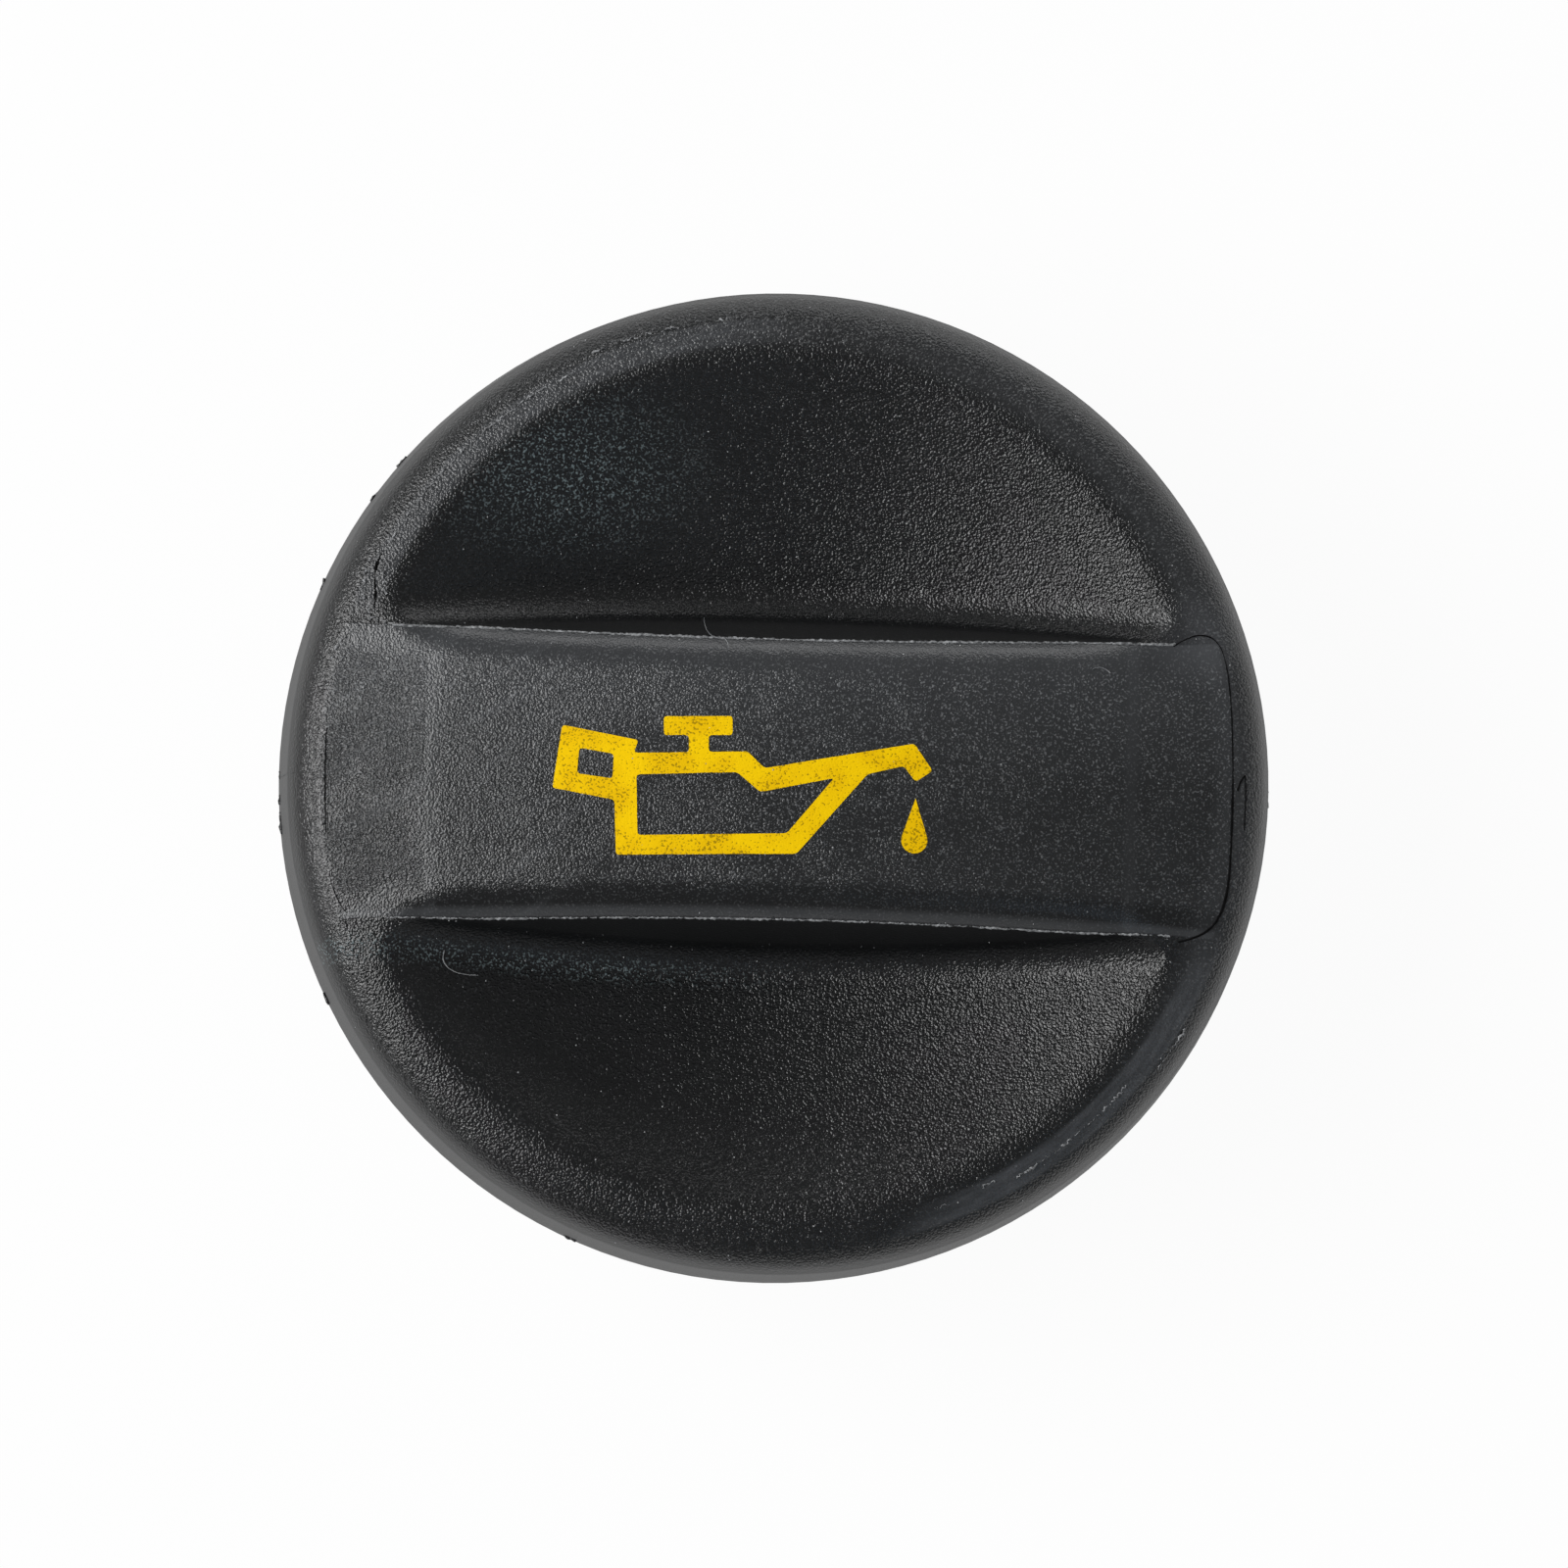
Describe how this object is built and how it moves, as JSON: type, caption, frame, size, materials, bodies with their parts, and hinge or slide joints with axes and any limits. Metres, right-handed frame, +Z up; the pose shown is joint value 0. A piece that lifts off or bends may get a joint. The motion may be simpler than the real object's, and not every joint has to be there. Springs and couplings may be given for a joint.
{
  "type": "engine oil filler cap",
  "caption": "Round black oil filler cap with a domed grip bar between dished finger scoops, a yellow oil-can sign, a sealing ring and a quarter-turn lug plug.",
  "frame": {"origin": "centre of the sealing plane, where the ring's lower face meets the filler neck, on the cap's turning axis", "axes": "+Z up along the turning axis towards the grip bar, X along the grip bar with the sign reading from -X to +X, -Z down through the plug into the neck"},
  "size_m": [0.064, 0.064, 0.0269],
  "materials": {
    "cap_nylon": "spark-eroded matte black, glass-filled nylon",
    "seal_rubber": "smooth black nitrile",
    "sign_ink": "pad-printed yellow ink"
  },
  "bodies": {
    "root": {"cap_body": "cap_nylon", "sealing_ring": "seal_rubber"}
  },
  "joints": []
}
